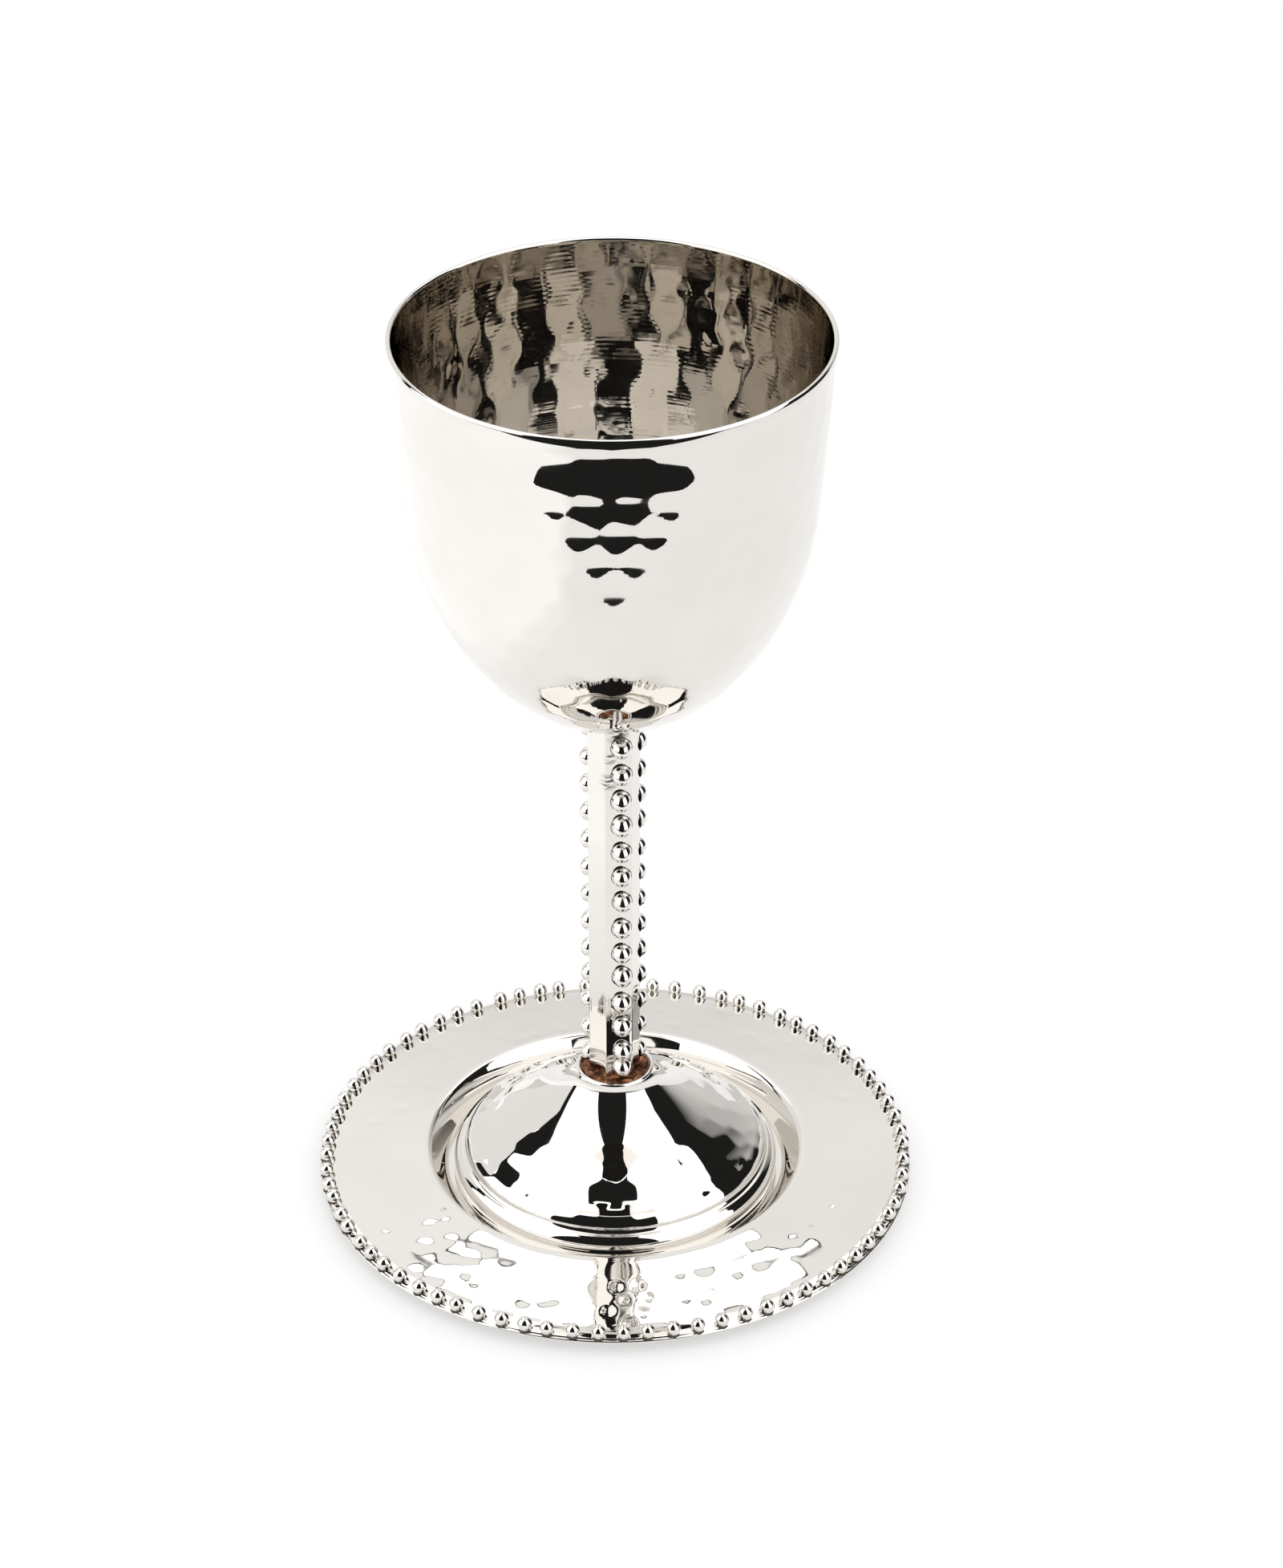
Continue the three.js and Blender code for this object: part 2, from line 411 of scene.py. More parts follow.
def height_on(line, radius):
    """Height at a radius of a line that runs outwards."""
    r, z = np.array(line).T
    return np.interp(radius, r, z)


def eased(share):
    """A share that leaves 0 and reaches 1 softly."""
    share = np.clip(share, 0, 1)
    return share**2 * (3 - 2 * share)


def line_normals(line, closed=False):
    """Unit normals on the right-hand side of a line of (radius, height) points."""
    points = np.array(line)
    if closed:
        run = np.roll(points, -1, 0) - np.roll(points, 1, 0)
    else:
        run = np.gradient(points, axis=0)
    across = np.stack([run[:, 1], -run[:, 0]], 1)
    return across / np.linalg.norm(across, axis=1, keepdims=True)


# ---------------------------------------------------------------- meshes


def make_object(name, points, faces, material, smooth=True):
    """A mesh of points in millimetres, in the scene."""
    mesh = bpy.data.meshes.new(name)
    mesh.from_pydata((np.asarray(points) * MM).tolist(), [], faces)
    mesh.validate()
    mesh.polygons.foreach_set("use_smooth", [smooth] * len(mesh.polygons))
    mesh.update()
    made = bpy.data.objects.new(name, mesh)
    bpy.context.scene.collection.objects.link(made)
    mesh.materials.append(material)
    return made


def keep_values(piece, name, values):
    """Keeps a value at each point of a mesh, which its material reads by name."""
    piece.data.attributes.new(name, "FLOAT", "POINT").data.foreach_set("value", values)


def grid_faces(rows, columns, wrap_rows=False, first=0):
    """Quads between the rows of a grid whose columns go all the way round."""
    faces = []
    for i in range(rows if wrap_rows else rows - 1):
        a = first + i * columns
        b = first + (i + 1) % rows * columns
        for j in range(columns):
            k = (j + 1) % columns
            faces.append((a + j, a + k, b + k, b + j))
    return faces


def turned_points(line, sides, push=None, closed=False):
    """The grid of points of a line turned about Z, with push[row, side] along the normals."""
    points = np.array(line)
    turn = np.radians(FRONT) + np.arange(sides) * 2 * np.pi / sides
    radius = np.repeat(points[:, :1], sides, 1)
    height = np.repeat(points[:, 1:], sides, 1)
    if push is not None:
        normals = line_normals(line, closed)
        radius = radius + push * normals[:, :1]
        height = height + push * normals[:, 1:]
    return np.stack([radius * np.cos(turn), radius * np.sin(turn), height], -1)


def turned(name, line, sides, material, push=None, closed=False):
    """A turned piece. An open line starts and ends on the axis, where the mesh closes to a point."""
    grid = turned_points(line, sides, push, closed)
    if closed:
        return make_object(
            name, grid.reshape(-1, 3), grid_faces(len(line), sides, True), material
        )
    inner = grid[1:-1]
    rows = len(inner)
    start = (0.0, 0.0, line[0][1])
    end = (0.0, 0.0, line[-1][1])
    points = np.vstack([inner.reshape(-1, 3), [start], [end]])
    faces = grid_faces(rows, sides)
    a, b = rows * sides, rows * sides + 1
    last = (rows - 1) * sides
    for j in range(sides):
        k = (j + 1) % sides
        faces.append((a, k, j))
        faces.append((last + j, last + k, b))
    return make_object(name, points, faces, material)


# ---------------------------------------------------------------- hammer marks


def along(line):
    """Distance from the line's first point to each of its points."""
    steps = np.linalg.norm(np.diff(np.array(line), axis=0), axis=1)
    return np.concatenate([[0.0], np.cumsum(steps)])


def ring_of_marks(radius, height, count, offset, scatter):
    """Places of one ring of marks, each a little off its even spacing."""
    places = []
    for i in range(count):
        turn = math.radians(FRONT) + (i + offset) * 2 * math.pi / count
        turn += chance.uniform(-scatter, scatter) / max(radius, 1)
        r = radius + chance.uniform(-scatter, scatter) * OUTWARD_SCATTER
        z = height + chance.uniform(-scatter, scatter)
        places.append((r * math.cos(turn), r * math.sin(turn), z))
    return places


def rings_of_marks(line, rings, scatter):
    """Marks in (radius, count) rings on a line that runs outwards. Every other ring is half a mark on."""
    places = []
    for row, (radius, count) in enumerate(rings):
        places += ring_of_marks(radius, height_on(line, radius), count, row % 2 / 2, scatter)
    return places


def dents(points, places, rounds, depths, ridge):
    """How far the marks push the surface in at each point, as a negative number.

    A mark is like the dent of a ball, with its radius from rounds and its depth from depths. Soft ridges
    stand between marks.
    """
    flat = points.reshape(-1, 3)
    places = np.array(places)
    result = np.empty(len(flat))
    for start in range(0, len(flat), BLOCK):
        gap = flat[start : start + BLOCK, None] - places[None]
        height = (gap**2).sum(-1) / (2 * rounds) - depths
        lowest = np.minimum(height.min(1), 0)
        total = np.exp((lowest[:, None] - height) / ridge).sum(1) + np.exp(lowest / ridge)
        result[start : start + BLOCK] = lowest - ridge * np.log(total)
    return result.reshape(points.shape[:-1])


def uneven(count, middle, share):
    """Numbers that vary about the middle by up to the share of it."""
    return np.array([middle * chance.uniform(1 - share, 1 + share) for _ in range(count)])


# ---------------------------------------------------------------- materials


def new_material(name):
    """A material, its node tree and its shader."""
    material = bpy.data.materials.new(name)
    material.use_nodes = True
    tree = material.node_tree
    return material, tree, tree.nodes["Principled BSDF"]


def plug(tree, node, inputs):
    """Gives each input its value: another node's output, or a number or colour."""
    for name, value in inputs.items():
        if isinstance(value, bpy.types.NodeSocket):
            tree.links.new(value, node.inputs[name])
        else:
            node.inputs[name].default_value = value


def add_node(tree, kind, inputs, **settings):
    """Adds a node and gives its outputs."""
    node = tree.nodes.new("ShaderNode" + kind)
    for name, value in settings.items():
        setattr(node, name, value)
    plug(tree, node, inputs)
    return node.outputs


def object_place(tree):
    return add_node(tree, "TexCoord", {})["Object"]


def noise(tree, place, scale, detail):
    return add_node(tree, "TexNoise", {"Vector": place, "Scale": scale, "Detail": detail})["Fac"]


def mapped(tree, value, start, end):
    """The value moved from the range start to the range end."""
    inputs = {
        "Value": value,
        "From Min": start[0],
        "From Max": start[1],
        "To Min": end[0],
        "To Max": end[1],
    }
    return add_node(tree, "MapRange", inputs)["Result"]


def pattern(tree, place, scale, detail, start, end):
    return mapped(tree, noise(tree, place, scale, detail), start, end)


def mixed(tree, share, first, second):
    """A colour between first and second, by share."""
    inputs = {"Factor": share, "A": first, "B": second}
    return add_node(tree, "Mix", inputs, data_type="RGBA")["Result"]


def product(tree, first, second):
    return add_node(tree, "Math", {0: first, 1: second}, operation="MULTIPLY")["Value"]


def added(tree, first, second):
    """The sum of two shares, at most 1."""
    inputs = {0: first, 1: second}
    return add_node(tree, "Math", inputs, operation="ADD", use_clamp=True)["Value"]


def bumped(tree, height, depth):
    """The normals of a surface whose relief is depth deep."""
    inputs = {"Height": height, "Distance": depth * MM, "Strength": 1.0}
    return add_node(tree, "Bump", inputs)["Normal"]


def turning_lines(tree, place):
    """The normals of a wall with fine level lines, in patches."""
    inputs = {
        "Vector": place,
        "Scale": WAVE_LENGTH / (TURNING["pitch"] * MM),
        "Distortion": TURNING["distortion"],
        "Detail": TURNING["detail"],
        "Detail Scale": TURNING["detail_scale"],
    }
    lines = add_node(tree, "TexWave", inputs, wave_type="BANDS", bands_direction="Z")["Fac"]
    patches = pattern(tree, place, *TURNED_PATCHES)
    return bumped(tree, product(tree, lines, patches), TURNING["depth"])


def solder_smudges(tree, place):
    """Streaky dark patches of solder near the stem's top."""
    near = 0.0
    for *middle, size in SMUDGES:
        ends = {0: place, 1: [v * MM for v in middle]}
        away = add_node(tree, "VectorMath", ends, operation="DISTANCE")["Value"]
        patch = mapped(tree, away, (SMUDGE["core"] * size * MM, size * MM), (1.0, 0.0))
        near = added(tree, near, patch)
    flat = add_node(tree, "Mapping", {"Vector": place, "Scale": SMUDGE["stretch"]})["Vector"]
    return product(tree, near, pattern(tree, flat, *SOLDER_STREAKS))


def silver(name, clean=SILVER, worn=WORN, polish=POLISH, turned_lines=False, smudged=False):
    """Polished silver-coloured metal with faint clouds and an uneven polish.

    Dark scale and painted crease shade cover it where the mesh's values say so. It can have fine turning
    lines or smudges of solder.
    """
    material, tree, shader = new_material(name)
    place = object_place(tree)
    clouds = pattern(tree, place, *CLOUDS)
    smears = pattern(tree, place, *SMEARS, polish)
    # Painted shade in the solder creases round the beads, with dark scale. Smudges of solder add to it.
    scale = add_node(tree, "Attribute", {}, attribute_name="crease_shade_and_scale")["Fac"]
    if smudged:
        scale = added(tree, scale, solder_smudges(tree, place))
    inputs = {
        "Base Color": mixed(tree, scale, mixed(tree, clouds, clean, worn), SHADE_AND_SCALE),
        "Roughness": added(tree, smears, mapped(tree, scale, (0.0, 1.0), (0.0, SHADE_AND_SCALE_ROUGHNESS))),
        "Metallic": 1.0,
    }
    if turned_lines:
        inputs["Normal"] = turning_lines(tree, place)
    plug(tree, shader, inputs)
    return material


def copper_braze():
    """Dull coppery alloy with darker scale in its hollows."""
    material, tree, shader = new_material("copper_braze_surface")
    place = object_place(tree)
    patches = noise(tree, place, BRAZE_SCALE["scale"], BRAZE_SCALE["detail"])
    share = mapped(tree, patches, BRAZE_SCALE["range"], (0.0, 1.0))
    grain = noise(tree, place, BRAZE_GRAIN["scale"], BRAZE_GRAIN["detail"])
    inputs = {
        "Base Color": mixed(tree, share, COPPER_SCALE, COPPER),
        "Roughness": mapped(tree, patches, *BRAZE_SHEEN),
        "Metallic": 1.0,
        "Normal": bumped(tree, grain, BRAZE_GRAIN["depth"]),
    }
    plug(tree, shader, inputs)
    return material


# ---------------------------------------------------------------- bowl


def bowl_line(inset, step):
    """Half the bowl's section, at a depth of inset below its outside, from the axis up to the lip."""
    join = BOWL["bottom"] + BOWL["belly"]
    depth = BOWL["belly"] - inset

    def radius(z):
        return BOWL["rim"] - inset - BOWL["taper"] * (RIM_HEIGHT - z)

    pieces = spread(depth * math.pi / 2 * BOWL["belly_run"], step)
    belly = []
    for i in range(pieces + 1):
        u = math.pi / 2 * i / pieces
        z = join - depth * math.cos(u)
        belly.append((radius(z) * math.sin(u), z))
    end = RIM_HEIGHT - BOWL["wall"] / 2
    return joined(belly, straight((radius(join), join), (radius(end), end), step))


def bowl_marks(outside):
    """Rings of marks from the band under the lip down to the bottom, as (places, rounds, depths)."""
    m = BOWL_MARKS
    length = along(outside)
    r, z = np.array(outside).T
    place = np.interp(RIM_HEIGHT - m["top_row"], z, length)
    below = np.interp(RIM_HEIGHT - m["second_row"], z, length)
    marks, rounds, depths = [], [], []
    row = 0
    while place > m["mark_pitch"]:
        radius, height = np.interp(place, length, r), np.interp(place, length, z)
        if row < len(m["top_rows"]):
            count = m["in_top_rows"]
            shift, size, depth = m["top_rows"][row]
        else:
            count = round(2 * math.pi * radius / m["mark_pitch"])
            shift, size, depth = row % 2 / 2, m["round"], m["depth"]
        marks += ring_of_marks(radius, height, count, shift, m["scatter"])
        rounds += [size] * count
        depths += [depth] * count
        place = below - m["row_pitch"] * row
        row += 1
    rounds = np.array(rounds) * uneven(len(rounds), 1.0, m["uneven_round"])
    depths = np.array(depths) * uneven(len(depths), 1.0, m["uneven_depth"])
    return marks, rounds, depths


def fine_push(line, points):
    """The push of the inside wall's small unevenness, between its bulges."""
    m = FINE_MARKS
    r, z = np.array(line).T
    places = []
    for _ in range(m["count"]):
        height = chance.uniform(BOWL["bottom"] + m["above_bottom"], RIM_HEIGHT - m["below_rim"])
        radius = float(np.interp(height, z, r))
        places += ring_of_marks(radius, height, 1, chance.random(), 0.0)
    rounds, depths = uneven(len(places), *m["round"]), uneven(len(places), *m["depth"])
    return dents(points, places, rounds, depths, m["ridge"])


def bowl_push(line, outside, inside, turn):
    """The push of all the bowl's marks: dents outside, and bulges inside, from point `turn` on."""
    m = BOWL_MARKS
    marks, rounds, depths = bowl_marks(outside)
    points = turned_points(line, BOWL["sides"])
    push = dents(points, marks, rounds, depths, m["ridge"])
    inner = points[turn:]
    inner_rounds = np.minimum(rounds, m["inside_round"])
    push[turn:] = -m["inside"] * dents(inner, marks, inner_rounds, m["depth"], m["ridge"])
    push[turn:] -= fine_push(inside, inner)
    is_outside = np.arange(len(line)) < len(outside)
    below_band = (RIM_HEIGHT - m["band"] - np.array(line)[:, 1]) / m["band_blend"]
    push *= np.where(is_outside, eased(below_band), 1.0)[:, None]
    push[len(outside) - m["smooth_rows"] : len(line) - len(inside) + m["smooth_rows"]] = 0
    return push


def make_bowl():
    """The bowl, open at the top, with a rounded lip. Its inside is duller and has turning lines."""
    outside = bowl_line(0, BOWL["step"])
    inside = bowl_line(BOWL["wall"], BOWL["step"])
    lip_r = (outside[-1][0] + inside[-1][0]) / 2
    lip = arc(lip_r, outside[-1][1], BOWL["wall"] / 2, 0, 180, SMALL_STEP)
    line = joined(outside, lip, inside[::-1])
    turn = len(outside) + len(lip) // 2
    push = bowl_push(line, outside, inside, turn)
    piece = turned("hammered_bowl", line, BOWL["sides"], silver("bowl_polish"), push)
    inner = silver("bowl_inside", INSIDE_SILVER, INSIDE_WORN, INSIDE_POLISH, turned_lines=True)
    piece.data.materials.append(inner)
    first_inner = (turn + 1) * BOWL["sides"]
    for face in piece.data.polygons:
        face.material_index = int(min(face.vertices) >= first_inner)
    return piece


# ---------------------------------------------------------------- stem


def stem_section():
    """The hexagon with its edges slightly rounded, as (x, y) points."""
    edge = STEM["edge"]
    centre = STEM["corner"] - edge / math.cos(math.radians(30))
    rounds = []
    for k in range(6):
        corner = STEM["first_face"] + 60 * k + 30
        turn = math.radians(corner)
        middle = (centre * math.cos(turn), centre * math.sin(turn))
        rounds.append(arc(*middle, edge, corner - 30, corner + 30, STEM["edge_step"]))
    stretches = []
    for edge_round, following in zip(rounds, rounds[1:] + rounds[:1]):
        stretches += [edge_round, straight(edge_round[-1], following[0], STEM["face_step"])]
    return joined(*stretches)[:-1]


def bead_section(radius, above, skirt, sink):
    """A bead's section from its solder skirt to its pole, as (out, up, painted crease shade with scale)
    points.
    """
    foot = math.sqrt(radius**2 - above**2)
    start = math.degrees(math.asin((SOLDER["top"] - above) / radius))
    sphere = arc(0, above, radius, start, 90, radius * BEAD_STEP)
    out, up = SOLDER["corner"]
    throat = bend((foot + skirt, -sink), (foot + out, up), sphere[0], SOLDER["step"])
    section = []
    for r, z in joined(throat, sphere):
        # Painted crease shade with scale: full where the bead meets the face, fading up the bead.
        crease_shade_and_scale = (SOLDER["crease_shade_to"] - z) / SOLDER["fade"]
        section.append((r, z, max(0.0, min(1.0, crease_shade_and_scale))))
    return section


def add_bead(points, faces, crease_shades_and_scale, base, outward, up, section, stretch, sides):
    """One bead whose axis leaves base along outward. Its half towards `up` is stretched, as a drop is."""
    sideways = np.cross(up, outward)
    first = len(points)
    for r, z, crease_shade_and_scale in section[:-1]:
        for j in range(sides):
            a = 2 * math.pi * j / sides
            rise = r * math.sin(a) * (stretch if j < sides / 2 else 1.0)
            points.append(base + outward * z + sideways * r * math.cos(a) + up * rise)
            crease_shades_and_scale.append(crease_shade_and_scale)
    points.append(base + outward * section[-1][1])
    crease_shades_and_scale.append(0.0)
    rows = len(section) - 1
    faces += grid_faces(rows, sides, False, first)
    last = first + (rows - 1) * sides
    pole = first + rows * sides
    faces += [(last + j, last + (j + 1) % sides, pole) for j in range(sides)]


def stem_bar():
    """The bar's points and faces: a little uneven, and flared where it meets the bowl."""
    section = np.array(stem_section())
    reach = np.linalg.norm(section, axis=1)
    tops = height_on(bowl_line(0, BOWL["fine_step"]), reach) + STEM["into_bowl"]
    rows, unevenness = STEM["rows"], STEM["unevenness"]
    points = []
    for i in range(rows + 1):
        heights = STEM["bottom"] + (tops - STEM["bottom"]) * (i / rows)
        wave = 1 + STEM["wave"] * math.sin(i * STEM["wave_turn"])
        wave += chance.uniform(-unevenness, unevenness)
        flare = 1 + STEM["flare"] * max(0.0, 1 - (rows - i) / STEM["flare_rows"]) ** 2
        points += list(np.column_stack([section * wave * flare, heights]))
    return points, grid_faces(rows + 1, len(section))


def add_bead_row(points, faces, crease_shades_and_scale, row, turn):
    """A row of beads up the bar's face that looks along turn."""
    b = STEM_BEAD
    apothem = STEM["corner"] * math.cos(math.radians(30))
    outward = np.array([math.cos(turn), math.sin(turn), 0.0])
    across = np.cross(UP, outward)
    heights = [row["top"] - row["pitch"] * i for i in range(row["count"])] + [row["last"]]
    for height in heights:
        aside = row["aside"] + chance.uniform(-b["stray_across"], b["stray_across"])
        height += chance.uniform(-b["stray_up"], b["stray_up"])
        base = outward * apothem + across * aside + UP * height
        radius = b["radius"] * chance.uniform(*BEAD_SIZES)
        flatter = b["reach"] / (radius + row["above"])
        section = bead_section(radius, row["above"], b["skirt"], 0.0)
        section = [(r, z * flatter, crease_shade_and_scale) for r, z, crease_shade_and_scale in section]
        stretch = chance.choice(b["stretches"])
        add_bead(points, faces, crease_shades_and_scale, base, outward, UP, section, stretch, b["sides"])


def make_stem():
    """The bar with its three rows of soldered beads, as one piece with two finishes."""
    points, faces = stem_bar()
    bar_faces = len(faces)
    crease_shades_and_scale = [0.0] * len(points)
    for k, row in enumerate(BEAD_ROWS):
        add_bead_row(points, faces, crease_shades_and_scale, row, math.radians(STEM["first_face"] + 120 * k))
    piece = make_object("beaded_stem", points, faces, silver("stem_bar", smudged=True))
    piece.data.materials.append(silver("stem_beads"))
    is_bead = np.arange(len(faces)) >= bar_faces
    piece.data.polygons.foreach_set("material_index", is_bead.astype(int))
    # Each point keeps its painted crease shade with scale.
    keep_values(piece, "crease_shade_and_scale", crease_shades_and_scale)
    return piece


# ---------------------------------------------------------------- foot


def meeting(outer, outer_slope, inner, inner_slope):
    """Where two lines meet that fall outwards, each by its slope from a (radius, height) point."""
    r = (outer[1] + outer_slope * outer[0] - inner[1] - inner_slope * inner[0]) / (
        outer_slope - inner_slope
    )
    return (r, outer[1] + outer_slope * (outer[0] - r))


def foot_outside():
    """The foot's outer line from the ring's lower edge up to the collar's lip."""
    step = FOOT["step"]
    turn, turn_slope = FOOT["turn"], FOOT["turn_slope"]
    swell, swell_slope = FOOT["swell"], FOOT["swell_slope"]
    ring = arc(*FOOT["ring"], *FOOT["ring_turn"], FOOT["ring_step"])
    crease = arc(*FOOT["crease"], *FOOT["crease_turn"], SMALL_STEP)
    roll = arc(*FOOT["roll"], *FOOT["roll_turn"], ROUND_STEP)
    roll_slope = 1 / math.tan(math.radians(FOOT["roll_turn"][1]))
    low = meeting(roll[-1], roll_slope, swell, swell_slope)
    high = meeting(swell, swell_slope, turn, turn_slope)
    dome = joined(bend(roll[-1], low, swell, step), bend(swell, high, turn, step))
    neck = FOOT["collar"] + FOOT["lip"]
    corner = neck + FOOT["hollow"]
    corner_height = turn[1] + turn_slope * (turn[0] - corner)
    hollow = bend(turn, (corner, corner_height), (neck, FOOT["collar_top"]), step)
    wall = straight((ring[0][0], FOOT["rest"]), ring[0], FOOT["wall_step"])
    return joined(wall, ring, crease, roll, dome, hollow)


def offset_line(line, distance):
    """The line moved to its left by distance."""
    normals = line_normals(line)
    return [tuple(np.array(p) - distance * n) for p, n in zip(line, normals)]


def make_foot():
    """The spun sheet foot, open underneath, with a hammered dome."""
    outside = foot_outside()
    lip = arc(FOOT["collar"], FOOT["collar_top"], FOOT["lip"], 0, 180, SMALL_STEP)
    inside = offset_line(outside, FOOT["sheet"])[::-1]
    line = joined(outside, lip, inside[1:])
    m = FOOT_MARKS
    marks = rings_of_marks(outside[::-1], m["rings"], m["scatter"])
    rounds, depths = uneven(len(marks), *m["round"]), uneven(len(marks), *m["depth"])
    push = dents(turned_points(line, FOOT["sides"]), marks, rounds, depths, m["ridge"])
    push[len(outside) :] = 0
    return turned("spun_foot", line, FOOT["sides"], silver("foot_polish"), push, closed=True)


# ---------------------------------------------------------------- braze


def uneven_lumps(count, size):
    """Heights of soft lumps all the way round a ring."""
    lump = np.array([chance.uniform(-size, size) for _ in range(count)])
    return (lump + np.roll(lump, 1) + np.roll(lump, -1) + np.roll(lump, 2)) / 2


def make_braze():
    """The alloy that fills the collar around the stem, drawn up a little at both."""
    b = BRAZE
    sides, rows = b["sides"], b["rows"]
    section = np.array(stem_section())
    turn = np.arctan2(section[:, 1], section[:, 0])
    order = np.argsort(turn)
    turns = np.linspace(-math.pi, math.pi, sides, endpoint=False)
    reach = np.linalg.norm(section, axis=1)
    inner = np.interp(turns, turn[order], reach[order], period=2 * math.pi) - b["into_bar"]
    outer = FOOT["collar"] - FOOT["lip"] + b["into_collar"]
    level = top_of("braze_ring") + b["above"]

    def ring(radius, heights):
        return np.column_stack([radius * np.cos(turns), radius * np.sin(turns), heights])

    surface = []
    for i in range(rows + 1):
        share = i / rows
        rise = b["up_bar"] * (1 - share) ** 4 + b["up_collar"] * share**5
        lump = uneven_lumps(sides, b["lump"])
        surface.append(ring(inner + (outer - inner) * share, level + rise + lump))
    low = np.full(sides, bottom_of("braze_ring"))
    grid = [ring(inner, low)] + surface + [ring(outer, low)]
    faces = [face[::-1] for face in grid_faces(len(grid), sides, True)]
    return make_object("braze_fill", np.vstack(grid), faces, copper_braze())


# ---------------------------------------------------------------- saucer


def saucer_top():
    """The saucer's upper line from the axis out to its fold."""
    foot, sheet, lean = SAUCER["wall_foot"], SAUCER["sheet"], SAUCER["wall_lean"]
    fillet = arc(SAUCER["floor"], sheet + foot, foot, 270, 360 - lean, ROUND_STEP)
    roll = arc(*SAUCER["crest"], 180 - lean, SAUCER["crest_end"], ROUND_STEP)
    floor = straight((0, sheet), fillet[0], SAUCER["floor_step"])
    border = straight(roll[-1], SAUCER_EDGE["fold"][0], SAUCER["step"])
    return joined(floor, fillet, roll, border)


def saucer_edge():
    """The folded-down rim outside the flat: fold, crease and the sheet's own edge."""
    e = SAUCER_EDGE
    fold = bend(*e["fold"], e["fold_step"])
    ledge, under = bend(*e["ledge"], SMALL_STEP), bend(*e["turn_under"], SMALL_STEP)
    return joined(fold, e["crease"], ledge, under)


def saucer_marks(top):
    """Broad soft marks in rings, small stray ones, and the knocks, as (places, rounds, depths)."""
    broad, stray = SAUCER_MARKS, STRAY_MARKS
    places = rings_of_marks(top, broad["rings"], broad["scatter"])
    rounds, depths = uneven(len(places), *broad["round"]), uneven(len(places), *broad["depth"])
    for _ in range(stray["count"]):
        radius = chance.uniform(*stray["reach"])
        places += ring_of_marks(radius, height_on(top, radius), 1, chance.random(), 0.0)
    places += [(x, y, height_on(top, math.hypot(x, y))) for x, y in KNOCKS["places"]]
    smaller = ((stray["count"], stray), (len(KNOCKS["places"]), KNOCKS))
    rounds = np.concatenate([rounds] + [uneven(count, *kind["round"]) for count, kind in smaller])
    depths = np.concatenate([depths] + [uneven(count, *kind["depth"]) for count, kind in smaller])
    return places, rounds, depths


def make_saucer():
    """The hammered sheet saucer. Only its upper side shows the marks."""
    top = saucer_top()
    under = offset_line(top, -SAUCER["sheet"])
    under[0] = (0.0, 0.0)
    edge = saucer_edge()[::-1]
    line = joined(under, straight(under[-1], edge[0], SAUCER["under_step"]), edge, top[::-1])
    points = turned_points(line, SAUCER["sides"])
    push = dents(points, *saucer_marks(top), SAUCER_MARKS["ridge"])
    push[: len(line) - len(top)] = 0
    return turned("hammered_saucer", line, SAUCER["sides"], silver("saucer_polish"), push)


def make_beading():
    """Beads soldered one by one along the saucer's rim."""
    b = BEADING
    points, faces, crease_shades_and_scale = [], [], []
    for i in range(b["beads"]):
        turn = (i + b["first"]) * 2 * math.pi / b["beads"]
        turn += math.radians(chance.gauss(0, b["stray_turn"]))
        side = np.array([math.cos(turn), math.sin(turn), 0.0])
        reach = b["ring"] + chance.uniform(-b["stray"], b["stray"])
        base = side * reach + UP * b["surface"]
        radius = b["bead"] * chance.uniform(*BEAD_SIZES)
        section = bead_section(radius, b["height"] - b["surface"], b["skirt"], b["sink"])
        add_bead(points, faces, crease_shades_and_scale, base, UP, side, section, 1.0, b["sides"])
    piece = make_object("beaded_rim", points, faces, silver("beading_polish"))
    # Each point keeps its painted crease shade with scale.
    keep_values(piece, "crease_shade_and_scale", crease_shades_and_scale)
    return piece


# ---------------------------------------------------------------- studio


def glowing():
    """Light given off by a card, as bright at each point as its mesh says."""
    material = bpy.data.materials.new("card_light")
    material.use_nodes = True
    tree = material.node_tree
    tree.nodes.clear()
    level = add_node(tree, "Attribute", {}, attribute_name="level")["Fac"]
    glow = add_node(tree, "Emission", {"Color": CARD_WHITE, "Strength": level})["Emission"]
    add_node(tree, "OutputMaterial", {"Surface": glow})
    return material


def only_in_reflections(sheet, levels):
    """Makes a sheet a card: it glows by its points' levels, and is seen only in reflections."""
    keep_values(sheet, "level", levels)
    for kind in ("camera", "diffuse", "shadow", "transmission", "volume_scatter"):
        setattr(sheet, "visible_" + kind, False)
    sheet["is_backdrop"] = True


def sheet_faces(rows, columns):
    """Quads of a grid of rows by columns, with open borders."""
    width = columns + 1
    return [
        (i * width + j, i * width + j + 1, (i + 1) * width + j + 1, (i + 1) * width + j)
        for i in range(rows)
        for j in range(columns)
    ]


def card(light, name, sides, heights, level, distance):
    """A curved card round the cup, seen only in reflections.

    sides(height) and heights(share of the width) give its borders. level(side, height) is its brightness.
    """
    columns, rows = CARD["columns"], CARD["rows"]
    points, levels = [], []
    for i in range(rows + 1):
        for j in range(columns + 1):
            low, high = heights(j / columns)
            up = low + (high - low) * i / rows
            first, last = sides(up)
            side = first + (last - first) * j / columns
            turn, rise = math.radians(FRONT + side), math.radians(up)
            flat = distance * math.cos(rise)
            height = CARD["centre"] + distance * math.sin(rise)
            points.append((flat * math.cos(turn), flat * math.sin(turn), height))
            levels.append(level(side, up))
    only_in_reflections(make_object(name, points, sheet_faces(rows, columns), light), levels)


def steady(value):
    """A function that gives the same value everywhere."""
    return lambda *_: value


def steps_of(table):
    """A function that runs straight between the (place, value) pairs of a table."""
    places, values = zip(*table)
    return lambda place: float(np.interp(place, places, values))


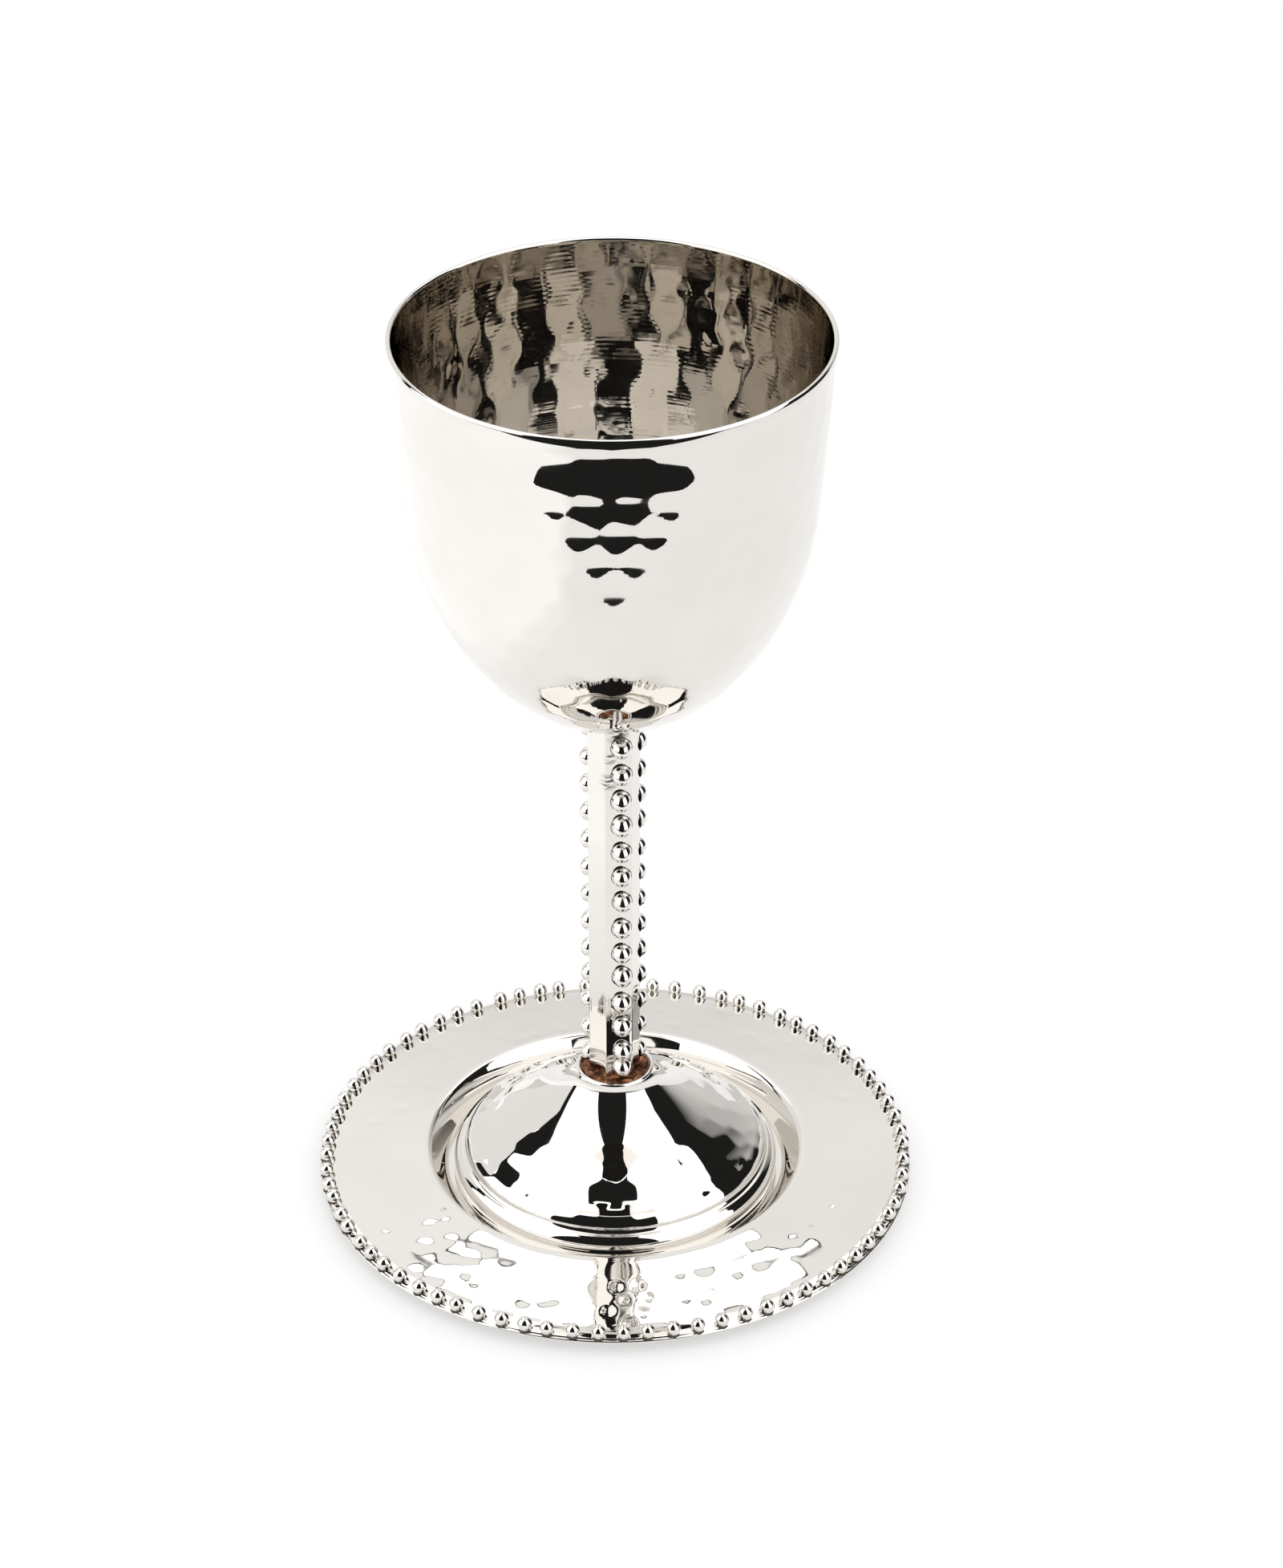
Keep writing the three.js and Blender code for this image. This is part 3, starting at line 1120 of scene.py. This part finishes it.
def make_backdrop(light):
    """A lit wall behind the cup with a round upper edge and a dark border along it."""
    b = BACKDROP
    half = b["top"][-1][0]
    outline, levels = steps_of(b["top"]), steps_of(b["levels"])
    tilt = steps_of(zip((-half, half), b["tilt"]))
    sides = steady((BEHIND - half, BEHIND + half))

    def top(share):
        return outline(abs(2 * share - 1) * half)

    def level(side, up):
        return levels(up) * tilt(side - BEHIND)

    card(light, "backdrop", sides, lambda share: (CARD["bottom"], top(share)), level, b["distance"])
    card(
        light, "backdrop_edge", sides, lambda share: (top(share), top(share) + b["edge"]),
        steady(b["edge_level"]), b["distance"],
    )


def make_cards(light):
    """The dark opening at the front, the lit walls around the cup and the dark gaps between them."""
    o, f = OPENING, FAR_SIDE
    black = steady(BLACK)
    card(light, "front_opening", steady(o["sides"]), steady(o["heights"]), black, o["distance"])
    make_backdrop(light)
    levels = steps_of(f["levels"])
    heights = steady((CARD["bottom"], f["top"]))
    card(light, "far_side", steady(f["sides"]), heights, lambda side, up: levels(side), f["distance"])
    for name, gap in GAPS.items():
        first, last = steps_of(gap["first"]), steps_of(gap["last"])
        heights = steady((CARD["bottom"], gap["top"]))
        card(light, name, lambda up: (first(up), last(up)), heights, black, GAP_DISTANCE)


def level_sheet(name, corner, opposite, height, material):
    """A flat level rectangle between two (x, y) corners."""
    (left, front), (right, back) = corner, opposite
    outline = ((left, front), (right, front), (right, back), (left, back))
    return make_object(name, [(x, y, height) for x, y in outline], [(0, 1, 2, 3)], material, False)


def make_table_end(light):
    """Beyond its front edge the table isn't lit: a flat dark sheet, seen only in reflections."""
    edge, reach = TABLE_END["edge"], TABLE_END["reach"]
    end = level_sheet("table_end", (-reach, -reach), (reach, -edge), TABLE_END["height"], light)
    only_in_reflections(end, [BLACK] * 4)


def table_paper():
    """White paper with a painted pool of light: lighter around the cup and to the left of it."""
    material, tree, shader = new_material("table_paper")
    place = object_place(tree)
    across = add_node(tree, "SeparateXYZ", {"Vector": place})["X"]
    reach = add_node(tree, "VectorMath", {0: place}, operation="LENGTH")["Value"]
    left = mapped(tree, across, [v * MM for v in PAPER["left"]], (PAPER["left_share"], 0.0))
    near = mapped(tree, reach, [v * MM for v in PAPER["near"]], (PAPER["near_share"], 0.0))
    inputs = {
        "Base Color": mixed(tree, added(tree, left, near), SHADED_PAPER, LIT_PAPER),
        "Emission Color": WHITE,
        # The paper's glow is painted light that keeps its contact shadows faint.
        "Emission Strength": PAPER["glow"],
        "Roughness": 1.0,
        "Specular IOR Level": 0.0,
    }
    plug(tree, shader, inputs)
    return material


def make_floor():
    half = PAPER["half"]
    floor = level_sheet("studio_floor", (-half, -half), (half, half), PAPER["height"], table_paper())
    floor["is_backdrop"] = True


def make_world():
    world = bpy.data.worlds.new("studio")
    bpy.context.scene.world = world
    world.use_nodes = True
    sky = world.node_tree.nodes["Background"]
    plug(world.node_tree, sky, {"Color": WHITE, "Strength": SKY})


def make_studio():
    light = glowing()
    make_floor()
    make_world()
    make_cards(light)
    make_table_end(light)


def make_camera():
    data = bpy.data.cameras.new("camera")
    data.sensor_fit = "VERTICAL"
    data.sensor_height = CAMERA["sensor"]
    data.lens = CAMERA["lens"]
    data.clip_start = CAMERA["nearest"] * MM
    camera = bpy.data.objects.new("camera", data)
    camera.location = [v * MM for v in CAMERA["place"]]
    camera.rotation_euler = (math.radians(90 - CAMERA["down"]), 0.0, math.radians(CAMERA["turn"]))
    bpy.context.scene.collection.objects.link(camera)
    bpy.context.scene.camera = camera


def main():
    scene = bpy.context.scene
    scene.view_settings.view_transform = "Standard"
    scene.cycles.glossy_bounces = BOUNCES["glossy"]
    scene.cycles.max_bounces = BOUNCES["all"]
    dressed = (
        (make_bowl(), "bowl", "bowl_silver"),
        (make_stem(), "stem", "stem_silver"),
        (make_foot(), "foot", "foot_silver"),
        (make_braze(), "braze_ring", "copper_braze"),
        (make_saucer(), "saucer", "saucer_silver"),
        (make_beading(), "rim_beading", "stem_silver"),
    )
    for piece, node, slot in dressed:
        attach(piece, "root")
        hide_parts(node)
    make_studio()
    make_camera()
    corners = {"cad": cad_box, "visual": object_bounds()}
    {name: [[float(v) for v in corner] for corner in box] for name, box in corners.items()}


main()
